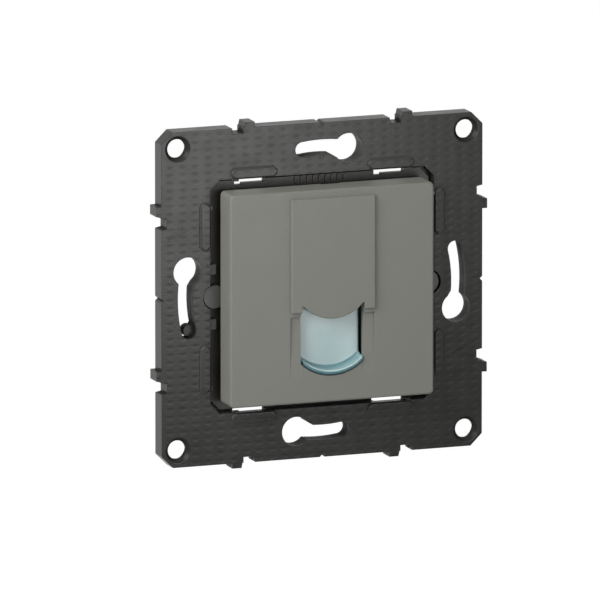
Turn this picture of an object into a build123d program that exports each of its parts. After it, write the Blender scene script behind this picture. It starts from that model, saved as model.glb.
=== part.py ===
from build123d import *
import math
import os

# A flush modular-jack outlet on a wall-box mounting frame. All sizes are in millimetres.
# X runs to the right, Y into the wall and Z up. The origin is the centre of the frame on the
# wall plane, so the frame's back is at Y = 0 and everything that faces the room has negative Y.

# Clearances
fit_gap = 0.2
slide_gap = 0.15
snug_gap = 0.1

# Cover
cover_size = 45.0
cover_depth = 6.1
cover_wall = 1.4
cover_front = 1.4
cover_edge_round = 0.45
cover_corner_round = 1.0
panel_width = 18.5
panel_margin = 1.7
panel_rise = 0.8
panel_edge = 0.15
seam_above_cavity = 3.8
seam_strip = 0.9
ramp_depth = 0.55
ramp_below_cavity = 10.0
opening_width = 13.8
opening_above_cavity = 5.2
opening_tip_inset = 0.4
opening_top_sag = 3.0
opening_below_cavity = 7.2
opening_bottom_sag = 2.8
pry_notch_width = 4.0
pry_notch_depth = 0.5
pry_notch_x = 1.6
barb_width = 4.0
barb_depth = 0.8
barb_z = 12.0
barb_bite = 0.7
barb_setback = 1.4

# Mounting frame, whose size follows from the cover, the window, the ribs and the screw slots
quarter_turn = 90
frame_depth = 4.0
frame_corner = 2.5
plate_thickness = 2.8
rim_width = 1.6
tooth_height = 1.1
tooth_width = 2.5
tooth_centre = 17.4
tooth_slant = 0.45
edge_nick = 0.5
corner_hole_inset = 3.65
corner_hole_diameter = 4.0
corner_sink_diameter = 5.5
corner_sink_depth = 0.8
corner_bore_diameter = 5.6
corner_bore_start = 1.8
corner_boss_diameter = 7.6
slot_width = 3.2
slot_rib_gap = 0.05
slot_edge_margin = 2.15
slot_head_diameter = 6.2
slot_head_angle = 11.0
slot_tip_angle_side = 13.0
slot_tip_angle_top = 8.2
slot_ramp_angle = 4.6
slot_wall = 1.2
window_margin = 2.2
window_corner = 2.1
window_wall = 1.5
ledge_reach = 2.1
ledge_thickness = 1.0
ledge_lap = 0.45
slit_start = 12.0
slit_end = 18.8
slit_skin = 1.6
slit_pocket = 1.0
rib_width = 2.4
rib_length = 10.2
rib_centre = 15.1
rib_height = 0.6
rib_corner = 0.8
rib_nub_length = 1.0
rib_nub_reach = 0.45
groove_width = 0.6
groove_depth = 0.35
groove_length = 7.7
groove_angle = 25.3
groove_inset = 4.6
groove_z = 14.25
web_width = 1.2
web_centre = 13.0
stop_lug_radius = 1.3
stop_lug_thickness = 2.2
stop_lug_z = -7.0
stop_lug_step = 1.0

# Mechanism carrier
flange_gap = 0.5
flange_thickness = 1.2
flange_relief = 0.65
flange_step = 1.0
flange_step_length = 1.6
platform_gap = 0.5
platform_front = 2.2
platform_wall = 1.5
tub_depth = 9.0
ear_radius = 2.45
ear_x = 23.6
ear_rise = 1.2
clip_rise = 1.1
clip_reach = 1.5
clip_width = 2.2
clip_z = 5.8
grip_rib_count = 9
grip_rib_pitch = 1.35
grip_rib_width = 0.5
grip_rib_height = 0.3
rail_width = 1.4
rail_lip = 1.0
rail_lip_thickness = 0.8
spring_wall = 1.5

# Dust shutter
tongue_thickness = 1.2
tongue_setback = 3.3
shutter_guide_lap = 1.1
shutter_guide_height = 6.5
shutter_guide_thickness = 1.0
guide_above_cavity = 4.0
lip_thickness = 1.35
lip_setback = 0.5
lip_bevel = 0.22
shutter_travel = 10.2
spring_seat_width = 4.4
spring_seat_height = 1.5

# Shutter spring
spring_diameter = 2.5
spring_wire = 0.35
spring_turns = 6
spring_below_panel = 3.0
peg_diameter = 1.5
peg_length = 1.6

# Jack
cavity_width = 11.8
cavity_height = 6.9
cavity_depth = 12.2
jack_edge_gap = 1.1
latch_step_width = 6.2
latch_step_height = 1.3
latch_slot_width = 4.0
latch_slot_height = 1.3
housing_wall = 1.5
housing_top_wall = 1.0
housing_back = 1.8
comb_height = 3.0
comb_setback = 5.8
contact_count = 8
contact_pitch = 1.02
contact_wire = 0.35
contact_drop = 2.4
contact_front = 3.2
contact_bend = 0.7
contact_tail = 7.8
contact_tail_rise = 0.4
contact_room = 1.4
comb_slot_width = 0.6
board_thickness = 1.2
board_hole = 0.6
pin_stub = 0.4
shield_thickness = 0.4
shield_front_setback = 2.9
terminal_length = 7.0
terminal_base = 2.4
terminal_row_depth = 2.8
blade_per_row = 4
blade_pitch = 3.4
blade_width = 2.2
blade_thickness = 0.4
blade_slot = 0.4
blade_slot_length = 3.2
blade_setback = 1.0
cap_wall = 1.0
cap_back = 1.6
cap_skirt_start = 1.4
cap_room = 4.8
cable_hole_diameter = 7.5
cable_collar_length = 3.0
cable_collar_wall = 1.0
press_tooth_width = 1.6
press_tooth_thickness = 0.6
press_tooth_overlap = 2.0
grip_count = 5
arm_thickness = 1.2
arm_height = 6.0
arm_hook = 0.6

# Planes across the depth, as Y values
front_y = -frame_depth
plate_back_y = front_y + plate_thickness
ledge_front_y = -ledge_thickness
flange_front_y = ledge_front_y - flange_thickness
cover_front_y = front_y - cover_depth
panel_front_y = cover_front_y - panel_rise
panel_inner_y = panel_front_y + cover_front
tongue_front_y = panel_front_y + tongue_setback
tongue_back_y = tongue_front_y + tongue_thickness
platform_y = front_y - platform_front
platform_back_y = platform_y + platform_wall
tub_back_y = front_y + tub_depth
guide_back_y = platform_y - slide_gap
guide_front_y = guide_back_y - shutter_guide_thickness
lip_front_y = panel_front_y + lip_setback
spring_axis_y = guide_back_y - spring_diameter / 2
jack_front_y = platform_y
cavity_back_y = jack_front_y + cavity_depth
housing_back_y = cavity_back_y + housing_back
board_front_y = housing_back_y
board_back_y = board_front_y + board_thickness
terminal_back_y = board_back_y + terminal_length
terminal_floor_y = board_back_y + terminal_base
blade_back_y = terminal_back_y - blade_setback
cap_front_y = board_back_y + cap_skirt_start
cap_inner_y = terminal_back_y + cap_room
cap_back_y = cap_inner_y + cap_back

# Half sizes and heights worked out from the sizes above
window_size = cover_size + 2 * window_margin
half_window = window_size / 2
slot_circle_radius = half_window + rib_width + slot_rib_gap + slot_head_diameter / 2
half_frame = slot_circle_radius + slot_head_diameter / 2 + slot_edge_margin
frame_size = 2 * half_frame
corner_hole_reach = half_frame - corner_hole_inset
half_flange = half_window - flange_gap
half_cover = cover_size / 2
half_platform = half_cover - cover_wall - platform_gap
housing_bottom = platform_wall + jack_edge_gap - half_platform
latch_bottom = housing_bottom + housing_wall
cavity_bottom = latch_bottom + latch_slot_height + latch_step_height
cavity_top = cavity_bottom + cavity_height
housing_width = cavity_width + 2 * housing_wall
housing_top = cavity_top + comb_height + housing_top_wall
housing_height = housing_top - housing_bottom
housing_z = (housing_top + housing_bottom) / 2
shield_width = housing_width + 2 * snug_gap + 2 * shield_thickness
shield_height = housing_height + 2 * snug_gap + 2 * shield_thickness
contact_z = cavity_top + comb_height - 1.0
row_top_z = housing_top - terminal_row_depth / 2
row_bottom_z = housing_bottom + terminal_row_depth / 2
cap_width = housing_width + 2 * fit_gap + 2 * cap_wall
cap_height = housing_height + 2 * fit_gap + 2 * cap_wall
panel_top = half_cover - panel_margin
panel_seam = cavity_top + seam_above_cavity
ramp_end = cavity_top - ramp_below_cavity
opening_tip_half = opening_width / 2 - opening_tip_inset
opening_tip_z = cavity_top + opening_above_cavity
opening_side_z = cavity_top - opening_below_cavity
shutter_guide_width = opening_width + 2 * shutter_guide_lap
shutter_guide_bottom = cavity_top + guide_above_cavity
spring_top_z = panel_top - spring_below_panel
tongue_half = opening_width / 2 - fit_gap
bottom_radius = ((opening_width / 2) ** 2 + opening_bottom_sag ** 2) / (2 * opening_bottom_sag)
bottom_centre_z = opening_side_z - opening_bottom_sag + bottom_radius
top_radius = (opening_tip_half ** 2 + opening_top_sag ** 2) / (2 * opening_top_sag)
top_centre_z = opening_tip_z - opening_top_sag + top_radius


def slab(outline, front, back):
    """Extrude an outline drawn in X and Z from the plane Y = front to the plane Y = back."""
    return extrude(Plane.XZ.offset(-back) * outline, amount=back - front)


def block(x0, x1, front, back, z0, z1):
    """A box between two X, two Y and two Z values."""
    outline = Pos((x0 + x1) / 2, (z0 + z1) / 2) * Rectangle(x1 - x0, z1 - z0)
    return slab(outline, front, back)


def rod(x, z, radius, front, back):
    """A round rod along Y."""
    return slab(Pos(x, z) * Circle(radius), front, back)


def cut_corners(size, cut):
    """A square outline with its four corners cut off."""
    square = Rectangle(size, size)
    return chamfer(square.vertices(), cut)


def quarter_turns(outline):
    """The same outline at the right, top, left and bottom of the frame."""
    return [Rot(0, 0, quarter_turn * turn) * outline for turn in range(4)]


def tooth(low, high, base, tip):
    """A tab or a notch on the frame's right edge, with one slanted flank."""
    corners = [(base, low), (tip, low), (tip, high - tooth_slant), (base, high)]
    return make_face(Polyline(*corners, close=True))


def frame_outline():
    """The frame's outline: tabs and notches that lock into the next frame of a row."""
    outline = cut_corners(frame_size, frame_corner)
    inner = half_frame - 1.0
    outer = half_frame + 1.0
    tabs = []
    notches = []
    for middle in (-tooth_centre, tooth_centre):
        tabs.append(tooth(middle - tooth_width, middle, inner, half_frame + tooth_height))
        notch = tooth(middle, middle + tooth_width + fit_gap, outer, half_frame - tooth_height - snug_gap)
        notches.append(notch)
    nick = make_face(Polyline((outer, -edge_nick - 1.0), (half_frame - edge_nick, 0), (outer, edge_nick + 1.0),
                              close=True))
    for tab in tabs:
        outline += quarter_turns(tab)
    for notch in notches + [nick]:
        outline -= quarter_turns(notch)
    return outline


def keyhole(turn):
    """A curved screw slot on the wall box's fixing circle, with a round head to pass the screw."""
    middle = quarter_turn * turn
    tip_angle = slot_tip_angle_side if turn % 2 == 0 else slot_tip_angle_top
    start = middle - slot_head_angle
    arc = CenterArc((0, 0), slot_circle_radius, start, slot_head_angle + tip_angle)
    outline = SlotArc(arc, slot_width)
    head = Rot(0, 0, start) * Pos(slot_circle_radius, 0) * Circle(slot_head_diameter / 2)
    inner = slot_circle_radius - slot_head_diameter / 2
    neck = slot_circle_radius - slot_width / 2
    ramp_end_angle = math.radians(slot_ramp_angle + 2.2)
    ramp = make_face(Polyline((inner, 0),
                              (neck * math.cos(ramp_end_angle), neck * math.sin(ramp_end_angle)),
                              (slot_circle_radius, 0.0), close=True))
    return outline + head + Rot(0, 0, start) * ramp


def window_outline():
    """The square window, with a round notch at each side for the carrier's ears."""
    outline = cut_corners(window_size, window_corner)
    for side in (-1, 1):
        outline += Pos(side * ear_x, 0) * Circle(ear_radius + fit_gap)
    return outline


def half_turns(outline):
    """The same outline at the top and at the bottom of the frame."""
    return [outline, Rot(0, 0, 2 * quarter_turn) * outline]


def window_ledges():
    """Ledges behind the window's edges that the carrier's flange rests on, open at the slits."""
    outer = ear_x + ear_radius + fit_gap + ledge_lap
    inner = half_window - ledge_reach
    reach = outer - inner
    upright = Pos((inner + outer) / 2, 0) * Rectangle(reach, 2 * outer)
    middle = Pos(0, (inner + outer) / 2) * Rectangle(2 * slit_start, reach)
    ledges = half_turns(upright) + half_turns(middle)
    for side in (-1, 1):
        corner = Pos(side * (slit_end + outer) / 2, (inner + outer) / 2) * Rectangle(outer - slit_end, reach)
        ledges += half_turns(corner)
    return ledges


def slit_pockets():
    """Pockets behind the window's upper and lower edge, which leave a thin skin beside each slit."""
    pockets = []
    for side in (-1, 1):
        middle = Pos(side * (slit_start + slit_end) / 2, half_window)
        outline = middle * Rectangle(slit_end - slit_start, 2 * slit_pocket)
        pockets += [slab(place, front_y + slit_skin, 1) for place in half_turns(outline)]
    return pockets


def raised_ribs():
    """Two raised oblong ribs beside each edge of the window, with sloping edges and a clip nub."""
    ribs = []
    centre_x = half_window + rib_width / 2
    for side in (-1, 1):
        bar = Rectangle(rib_width, rib_length)
        bar = Pos(centre_x, side * rib_centre) * chamfer(bar.vertices(), rib_corner)
        for outline in quarter_turns(bar):
            rib = slab(outline, front_y - rib_height, front_y + 0.2)
            rib = chamfer(rib.faces().sort_by(Axis.Y)[0].edges(), rib_height * 0.5)
            ribs.append(rib)
        nub_z = rib_centre + rib_length / 2 - rib_nub_length / 2 - 0.7
        nub = Pos(half_window, side * nub_z) * Rectangle(2 * rib_nub_reach, rib_nub_length)
        ribs += [slab(outline, front_y - rib_height * 0.5, front_y + 0.6) for outline in quarter_turns(nub)]
    return ribs


def diagonal_grooves():
    """One shallow slanted groove on the left and one on the right of the frame's face."""
    grooves = []
    for side in (-1, 1):
        middle = Pos(side * (half_frame - groove_inset), -side * groove_z) * Rot(0, 0, groove_angle)
        outline = middle * SlotOverall(groove_length, groove_width)
        grooves.append(slab(outline, front_y - 0.2, front_y + groove_depth))
    return grooves


def corner_holes():
    """Countersunk holes near the four corners, opened wider from the back."""
    cuts = []
    for x in (-corner_hole_reach, corner_hole_reach):
        for z in (-corner_hole_reach, corner_hole_reach):
            cuts.append(rod(x, z, corner_hole_diameter / 2, front_y - 1, 1))
            mouth = Plane.XZ.offset(-front_y) * Pos(x, z) * Circle(corner_sink_diameter / 2)
            floor = Plane.XZ.offset(-front_y - corner_sink_depth) * Pos(x, z) * Circle(corner_hole_diameter / 2)
            cuts.append(loft([mouth, floor]))
            cuts.append(rod(x, z, corner_bore_diameter / 2, front_y + corner_bore_start, 1))
    return cuts


def back_walls(outline):
    """Walls on the frame's back: the rim, the window's wall, slot walls, hole bosses and webs."""
    inner_rim = cut_corners(frame_size - 2 * (tooth_height + snug_gap + rim_width), frame_corner)
    walls = outline - inner_rim
    walls += cut_corners(window_size + 2 * window_wall, window_corner)
    for turn in range(4):
        walls += offset(keyhole(turn), slot_wall)
    for x in (-corner_hole_reach, corner_hole_reach):
        for z in (-corner_hole_reach, corner_hole_reach):
            walls += Pos(x, z) * Circle(corner_boss_diameter / 2)
    web_start = half_window + window_wall / 2
    web_end = half_frame - tooth_height - rim_width / 2
    for side in (-1, 1):
        web = Pos((web_start + web_end) / 2, side * web_centre) * Rectangle(web_end - web_start, web_width)
        walls += quarter_turns(web)
    return walls & outline


def mounting_frame():
    """The moulded frame that screws to the wall box."""
    outline = frame_outline()
    frame = slab(outline, front_y, plate_back_y)
    frame += slab(back_walls(outline), plate_back_y - 0.2, 0)
    frame -= slab(window_outline(), front_y - 1, 1)
    ledges = [slab(ledge, ledge_front_y, 0) for ledge in window_ledges()]
    frame += ledges
    frame -= slit_pockets()
    for turn in range(4):
        frame -= slab(keyhole(turn), front_y - 1, 1)
    frame -= corner_holes()
    frame += raised_ribs()
    frame -= diagonal_grooves()
    lug_x = -(slot_circle_radius - slot_width / 2 + 0.2)
    lug = Pos(lug_x, stop_lug_z) * Circle(stop_lug_radius)
    lug += Pos(lug_x + stop_lug_step, stop_lug_z + stop_lug_step) * Rectangle(stop_lug_step, stop_lug_step)
    frame += slab(lug, -stop_lug_thickness, 0)
    return frame


def opening_outline():
    """The shutter opening: straight sides, an arched top edge and an arched bottom edge."""
    half = opening_width / 2
    low = opening_side_z - opening_bottom_sag
    sides = make_face(Polyline((-half, opening_side_z), (half, opening_side_z),
                               (half, opening_tip_z), (-half, opening_tip_z), close=True))
    lower = Pos(0, bottom_centre_z) * Circle(bottom_radius)
    lower &= Pos(0, (low + opening_side_z) / 2) * Rectangle(opening_width, opening_bottom_sag)
    return sides + lower - Pos(0, top_centre_z) * Circle(top_radius)


def side_ramp(side):
    """The wedge cut beside the opening, deepest just below the panel's seam and flush lower down."""
    half = opening_width / 2
    width = panel_width / 2 - half + 0.2
    top_z = panel_seam - seam_strip
    corners = [(cover_front_y, ramp_end), (cover_front_y + ramp_depth, top_z),
               (cover_front_y - 1, top_z), (cover_front_y - 1, ramp_end)]
    profile = make_face(Polyline(*corners, close=True))
    start = half - 0.2 if side > 0 else -half + 0.2 - width
    return extrude(Plane.YZ.offset(start) * profile, amount=width)


def cover_shell():
    """The cover's outer shell with rounded front edges, open towards the wall."""
    outer = slab(RectangleRounded(cover_size, cover_size, cover_corner_round), cover_front_y, front_y)
    outer = fillet(outer.faces().sort_by(Axis.Y)[0].edges(), cover_edge_round)
    hollow = 2 * (half_cover - cover_wall)
    return outer - slab(Rectangle(hollow, hollow), cover_front_y + cover_front, front_y + 1)


def panel_outline():
    """The raised panel's outline, which follows the opening's arch below its lower edge."""
    outline = Pos(0, (panel_top + panel_seam) / 2) * Rectangle(panel_width, panel_top - panel_seam)
    arch = Pos(0, top_centre_z) * Circle(top_radius)
    below = Pos(0, panel_seam - opening_top_sag / 2) * Rectangle(opening_width, opening_top_sag)
    return outline + (arch & below)


def front_cover():
    """The square cover: raised centre panel, shutter opening, side ramps, pry notch and barbs."""
    cover = cover_shell()
    half = panel_width / 2
    panel = slab(panel_outline(), panel_front_y, cover_front_y + 0.5)
    panel = chamfer(panel.faces().sort_by(Axis.Y)[0].edges(), panel_edge)
    relief = block(-half + cover_front, half - cover_front, panel_inner_y, cover_front_y + cover_front + 0.1,
                   panel_seam + cover_front, panel_top - cover_front)
    cover = cover + panel - relief
    cover -= slab(opening_outline(), panel_front_y - 1, front_y + 1)
    cover -= [side_ramp(side) for side in (-1, 1)]
    notch_left = pry_notch_x - pry_notch_width / 2
    cover -= block(notch_left, notch_left + pry_notch_width, front_y - pry_notch_depth, front_y + 1,
                   half_cover - cover_wall - 1, half_cover + 1)
    inner = half_cover - cover_wall
    for side in (-1, 1):
        for z in (-barb_z, barb_z):
            near = side * (inner - barb_bite)
            far = side * (inner + 0.3)
            cover += block(min(near, far), max(near, far), front_y - barb_setback, front_y - barb_setback + barb_depth,
                           z - barb_width / 2, z + barb_width / 2)
    return cover


def flange_outline():
    """The carrier's flange, cut back at the slits above and below the cover."""
    outline = cut_corners(2 * half_flange, window_corner)
    for left in (-slit_end, slit_start):
        right = left + slit_end - slit_start
        relief = Pos((left + right) / 2, half_flange) * Rectangle(right - left, 2 * flange_relief)
        step = Pos(left + flange_step_length / 2, half_flange) * Rectangle(flange_step_length, 2 * flange_step)
        outline -= half_turns(relief) + half_turns(step)
    return outline


def shutter_rails():
    """Two lipped rails in front of the carrier that guide the shutter's upper part."""
    rails = []
    inner = shutter_guide_width / 2 + slide_gap
    lip_back = guide_front_y - slide_gap
    rail_low = shutter_guide_bottom - 1.0
    rail_high = shutter_guide_bottom + shutter_guide_height + shutter_travel + 1.0
    for side in (-1, 1):
        for near, far, front, back in ((inner, inner + rail_width, lip_back - rail_lip_thickness, platform_y),
                                       (inner - rail_lip, inner + 0.2, lip_back - rail_lip_thickness, lip_back)):
            low, high = sorted((side * near, side * far))
            rails.append(block(low, high, front, back, rail_low, rail_high))
    return rails


def jack_arms():
    """Two spring arms that reach back beside the jack and hook behind its shield."""
    arms = []
    near = shield_width / 2 + fit_gap
    hook_y = board_back_y + snug_gap
    for side in (-1, 1):
        low, high = sorted((side * near, side * (near + arm_thickness)))
        arms.append(block(low, high, platform_back_y - 0.2, hook_y + 0.7, housing_z - arm_height / 2,
                          housing_z + arm_height / 2))
        low, high = sorted((side * (near - arm_hook), side * (near + 0.2)))
        arms.append(block(low, high, hook_y, hook_y + 0.7, housing_z - arm_height / 2,
                          housing_z + arm_height / 2))
    return arms


def mechanism_carrier():
    """The moulding behind the cover: flange, platform, tub, shutter rails and jack arms."""
    carrier = slab(flange_outline(), flange_front_y, ledge_front_y)
    for side in (-1, 1):
        carrier += rod(side * ear_x, 0, ear_radius, flange_front_y - ear_rise, ledge_front_y)
        for z in (-clip_z, clip_z):
            low, high = sorted((side * (half_window - clip_reach), side * (half_window - snug_gap)))
            carrier += block(low, high, flange_front_y - clip_rise, ledge_front_y - 0.1, z - clip_width / 2,
                             z + clip_width / 2)
    carrier += slab(Rectangle(2 * half_platform, 2 * half_platform), platform_y, tub_back_y)
    tub = 2 * (half_platform - platform_wall)
    carrier -= slab(Rectangle(tub, tub), platform_back_y, tub_back_y + 1)
    jack_hole = Pos(0, housing_z) * Rectangle(housing_width + 2 * fit_gap, housing_height + 2 * fit_gap)
    carrier -= slab(jack_hole, platform_y - 1, platform_back_y + 1)
    for side in (-1, 1):
        for z in (-barb_z, barb_z):
            near = side * (half_platform - barb_bite + platform_gap - fit_gap)
            far = side * (half_platform + 1)
            carrier -= block(min(near, far), max(near, far), front_y - barb_setback - fit_gap,
                             front_y - barb_setback + barb_depth + fit_gap, z - barb_width / 2 - fit_gap,
                             z + barb_width / 2 + fit_gap)
    carrier += shutter_rails()
    carrier += jack_arms()
    wall_front = spring_axis_y - spring_diameter / 2
    carrier += block(-spring_seat_width / 2, spring_seat_width / 2, wall_front, platform_y + 0.1,
                     spring_top_z, spring_top_z + spring_wall)
    carrier += spring_peg(spring_top_z - peg_length, spring_top_z + 0.1)
    first = -(grip_rib_count - 1) / 2 * grip_rib_pitch
    for index in range(grip_rib_count):
        x = first + index * grip_rib_pitch
        carrier += block(x - grip_rib_width / 2, x + grip_rib_width / 2, flange_front_y - grip_rib_height,
                         flange_front_y + 0.1, half_cover + 0.1, half_flange - 0.2)
    return carrier


def spring_peg(z0, z1):
    """A short upright peg that centres one end of the spring."""
    return Pos(0, spring_axis_y, z0) * Cylinder(peg_diameter / 2, z1 - z0, align=(Align.CENTER, Align.CENTER,
                                                                                 Align.MIN))


def dust_shutter():
    """The shutter: a flat tongue in the opening, an arched finger lip and a wider guided part."""
    reach = bottom_radius - fit_gap
    top_z = shutter_guide_bottom + shutter_guide_height
    low_z = bottom_centre_z - reach
    tongue = Pos(0, (top_z + low_z) / 2) * Rectangle(2 * tongue_half, top_z - low_z)
    disc = Pos(0, bottom_centre_z) * Circle(reach)
    upper = Pos(0, (bottom_centre_z + top_z) / 2) * Rectangle(2 * tongue_half, top_z - bottom_centre_z)
    face = tongue & (disc + upper)
    shutter = slab(face, tongue_front_y, tongue_back_y)
    ring = disc - Pos(0, bottom_centre_z) * Circle(reach - lip_thickness)
    lip_outline = ring & Pos(0, bottom_centre_z - reach / 2) * Rectangle(2 * tongue_half, reach)
    lip = slab(lip_outline, lip_front_y, tongue_front_y + 0.2)
    lip = chamfer(lip.faces().sort_by(Axis.Y)[0].edges(), lip_bevel)
    shutter += lip
    half = shutter_guide_width / 2
    shutter += block(-half, half, guide_front_y, guide_back_y, shutter_guide_bottom, top_z)
    shutter += block(-tongue_half, tongue_half, tongue_back_y - 0.2, guide_back_y, shutter_guide_bottom, top_z)
    seat = spring_seat_width / 2
    shutter += block(-seat, seat, spring_axis_y - spring_diameter / 2, guide_back_y, top_z - spring_seat_height,
                     top_z)
    shutter += spring_peg(top_z - 0.1, top_z + peg_length)
    return shutter


def shutter_spring():
    """The compression spring between the shutter's top edge and the carrier's spring wall."""
    low = shutter_guide_bottom + shutter_guide_height + spring_wire / 2 + 0.02
    high = spring_top_z - spring_wire / 2 - 0.02
    radius = (spring_diameter - spring_wire) / 2
    path = Pos(0, spring_axis_y, low) * Helix(pitch=(high - low) / spring_turns, height=high - low,
                                              radius=radius)
    section = Plane(path @ 0, z_dir=path % 0) * Rectangle(spring_wire, spring_wire)
    return sweep(section, path=path, is_frenet=True)


def jack_housing():
    """The jack's moulded body: plug cavity, latch recess and the channel for the contacts."""
    half = housing_width / 2
    housing = block(-half, half, jack_front_y, housing_back_y, housing_bottom, housing_top)
    half = cavity_width / 2
    housing -= block(-half, half, jack_front_y - 1, cavity_back_y, cavity_bottom, cavity_top)
    half = latch_step_width / 2
    housing -= block(-half, half, jack_front_y - 1, cavity_back_y, cavity_bottom - latch_step_height,
                     cavity_bottom + 1)
    half = latch_slot_width / 2
    housing -= block(-half, half, jack_front_y - 1, cavity_back_y, latch_bottom, cavity_bottom)
    half = comb_width() / 2 + snug_gap
    housing -= block(-half, half, jack_front_y + contact_front - contact_room, housing_back_y + 1,
                     cavity_top - 0.1, cavity_top + comb_height)
    housing = chamfer(housing.faces().sort_by(Axis.Y)[0].outer_wire().edges(), 0.3)
    return housing


def comb_width():
    """The width of the contact comb, one pitch wider than the contacts on each side."""
    return (contact_count + 1) * contact_pitch


def contact_places():
    """The X position of each contact."""
    first = -(contact_count - 1) / 2 * contact_pitch
    return [first + index * contact_pitch for index in range(contact_count)]


def contact_comb():
    """The insert behind the contacts' bend, with one slot for each contact."""
    half = comb_width() / 2
    front = jack_front_y + comb_setback
    comb = block(-half, half, front, housing_back_y, cavity_top + 0.2, cavity_top + comb_height - snug_gap)
    for x in contact_places():
        comb -= block(x - comb_slot_width / 2, x + comb_slot_width / 2, front - 1, housing_back_y + 1,
                      contact_z - comb_slot_width / 2, cavity_top + comb_height + 1)
    return comb


def contact(x):
    """One spring contact: a pin in the board, a straight run forward and a slanted spring end."""
    front = jack_front_y + contact_front
    tail_y = front + contact_tail
    tail_z = cavity_top - contact_drop + contact_wire / 2
    path = Polyline((board_back_y + pin_stub, contact_z), (front, contact_z),
                    (front - contact_bend / 2, contact_z - contact_bend), (tail_y, tail_z),
                    (tail_y + 2 * contact_tail_rise, tail_z + contact_tail_rise))
    outline = trace(path, contact_wire)
    return extrude(Plane.YZ.offset(x - contact_wire / 2) * outline, amount=contact_wire)


def blade_places():
    """The X position and row height of each insulation-displacement blade."""
    first = -(blade_per_row - 1) / 2 * blade_pitch
    row = [first + index * blade_pitch for index in range(blade_per_row)]
    return [(x, row_top_z) for x in row] + [(x, row_bottom_z) for x in row]


def circuit_board():
    """The small upright board, with a square hole for each contact pin and each blade tail."""
    half = housing_width / 2
    board = block(-half, half, board_front_y, board_back_y, housing_bottom, housing_top)
    for x in contact_places():
        board -= block(x - board_hole / 2, x + board_hole / 2, board_front_y - 1, board_back_y + 1,
                       contact_z - board_hole / 2, contact_z + board_hole / 2)
    for x, z in blade_places():
        board -= block(x - board_hole, x + board_hole, board_front_y - 1, board_back_y + 1,
                       z - board_hole / 2, z + board_hole / 2)
    return board


def idc_blade(x, z):
    """A forked blade that cuts through a wire's insulation, with a tail in the board."""
    half = blade_width / 2
    tail = board_hole - snug_gap
    fork = block(x - half, x + half, board_back_y + 0.05, blade_back_y, z - blade_thickness / 2,
                 z + blade_thickness / 2)
    fork += block(x - tail, x + tail, board_front_y + 0.1, board_back_y + 0.2, z - blade_thickness / 2,
                  z + blade_thickness / 2)
    slot_start = blade_back_y - blade_slot_length
    fork -= block(x - blade_slot / 2, x + blade_slot / 2, slot_start, blade_back_y + 1, z - 1, z + 1)
    mouth = make_face(Polyline((-0.5, blade_back_y + 0.01), (0, blade_back_y - 0.8), (0.5, blade_back_y + 0.01),
                               close=True))
    fork -= Pos(x, 0, z - 1) * extrude(mouth, amount=2)
    return fork


def terminal_block():
    """The rear moulding: a base with blade pockets and two rows of posts that hold the wires."""
    half = housing_width / 2
    base = block(-half, half, board_back_y, terminal_floor_y, housing_bottom, housing_top)
    pocket_half = comb_width() / 2
    base -= block(-pocket_half, pocket_half, board_back_y - 1, board_back_y + pin_stub + snug_gap,
                  contact_z - 0.6, contact_z + 0.6)
    depth = terminal_row_depth / 2
    for z in (row_top_z, row_bottom_z):
        base += block(-half, half, terminal_floor_y - 0.1, terminal_back_y, z - depth, z + depth)
    gap = blade_width / 2 + snug_gap
    for x, z in blade_places():
        base -= block(x - gap, x + gap, terminal_floor_y, terminal_back_y + 1, z - depth - 1, z + depth + 1)
        base -= block(x - gap, x + gap, board_back_y - 1, terminal_floor_y + 1,
                      z - blade_thickness / 2 - snug_gap, z + blade_thickness / 2 + snug_gap)
    return base


def jack_shield():
    """The folded sheet sleeve round the housing and the board."""
    outer = Pos(0, housing_z) * Rectangle(shield_width, shield_height)
    inner = Pos(0, housing_z) * Rectangle(shield_width - 2 * shield_thickness,
                                          shield_height - 2 * shield_thickness)
    return slab(outer - inner, jack_front_y + shield_front_setback, board_back_y)


def wiring_cap():
    """The rear cap: a skirt over the posts, press teeth for the wires and a cable collar."""
    outer = Pos(0, housing_z) * Rectangle(cap_width, cap_height)
    hollow = Pos(0, housing_z) * Rectangle(cap_width - 2 * cap_wall, cap_height - 2 * cap_wall)
    cap = slab(outer, cap_front_y, cap_back_y)
    cap = chamfer(cap.faces().sort_by(Axis.Y)[-1].edges(), 0.8)
    cap -= slab(hollow, cap_front_y - 1, cap_inner_y)
    collar_radius = cable_hole_diameter / 2 + cable_collar_wall
    cap += rod(0, housing_z, collar_radius, cap_inner_y, cap_back_y + cable_collar_length)
    cap -= rod(0, housing_z, cable_hole_diameter / 2, cap_inner_y - 1, cap_back_y + cable_collar_length + 1)
    tooth_start = blade_back_y - press_tooth_overlap
    near = blade_thickness / 2 + snug_gap
    half = press_tooth_width / 2
    for x, z in blade_places():
        for side in (-1, 1):
            low, high = sorted((z + side * near, z + side * (near + press_tooth_thickness)))
            cap += block(x - half, x + half, tooth_start, cap_inner_y + 0.1, low, high)
    for index in range(grip_count):
        y = cap_front_y + 2.0 + index * 1.6
        for side in (-1, 1):
            low, high = sorted((side * (cap_width / 2 - 0.1), side * (cap_width / 2 + 0.4)))
            cap += block(low, high, y, y + 0.7, housing_z - 5, housing_z + 5)
    return cap


def build_parts():
    """Every piece by its name."""
    parts = {
        "mounting_frame": mounting_frame(),
        "mechanism_carrier": mechanism_carrier(),
        "front_cover": front_cover(),
        "dust_shutter": dust_shutter(),
        "shutter_spring": shutter_spring(),
        "jack_housing": jack_housing(),
        "contact_comb": contact_comb(),
        "circuit_board": circuit_board(),
        "terminal_block": terminal_block(),
        "jack_shield": jack_shield(),
        "wiring_cap": wiring_cap(),
    }
    for number, x in enumerate(contact_places(), start=1):
        parts[f"contact_{number}"] = contact(x)
    for number, (x, z) in enumerate(blade_places(), start=1):
        parts[f"idc_blade_{number}"] = idc_blade(x, z)
    return parts


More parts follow.
